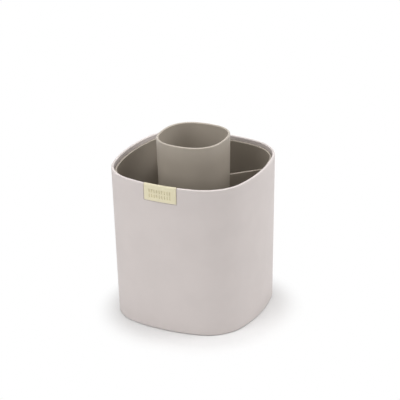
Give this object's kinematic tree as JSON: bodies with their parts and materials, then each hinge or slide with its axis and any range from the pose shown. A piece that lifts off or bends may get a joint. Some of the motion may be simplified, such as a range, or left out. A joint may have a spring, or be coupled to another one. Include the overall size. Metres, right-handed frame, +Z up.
{
  "type": "makeup brush holder",
  "caption": "Soft-square pot that keeps makeup brushes upright, with a lift-out divider insert and a taller lift-out cup in its middle.",
  "frame": {"origin": "middle of the base, on the surface that the pot stands on", "axes": "+Z up; the tag hangs on the -Y side, and +X is to the right of someone who looks at the tag"},
  "size_m": [0.112, 0.1127, 0.1358],
  "materials": {
    "pot_shell": "fine matt moulded, pale greige",
    "insert_moulding": "fine matt moulded, taupe",
    "cup_moulding": "fine matt moulded, taupe",
    "tag_plate": "satin pale champagne",
    "grip_pad": "soft matt, translucent grey"
  },
  "bodies": {
    "pot": {"outer_pot": "pot_shell", "rim_tag": "tag_plate", "base_pad_front_left": "grip_pad", "base_pad_front_right": "grip_pad", "base_pad_back_left": "grip_pad", "base_pad_back_right": "grip_pad"},
    "insert": {"divider_insert": "insert_moulding"},
    "cup": {"centre_cup": "cup_moulding"}
  },
  "joints": [
    {"name": "insert_lift", "type": "slide", "parent": "pot", "child": "insert", "axis": [0, 0, 1], "range_m": [0, 0.12]},
    {"name": "cup_lift", "type": "slide", "parent": "insert", "child": "cup", "axis": [0, 0, 1], "range_m": [0, 0.12]}
  ]
}
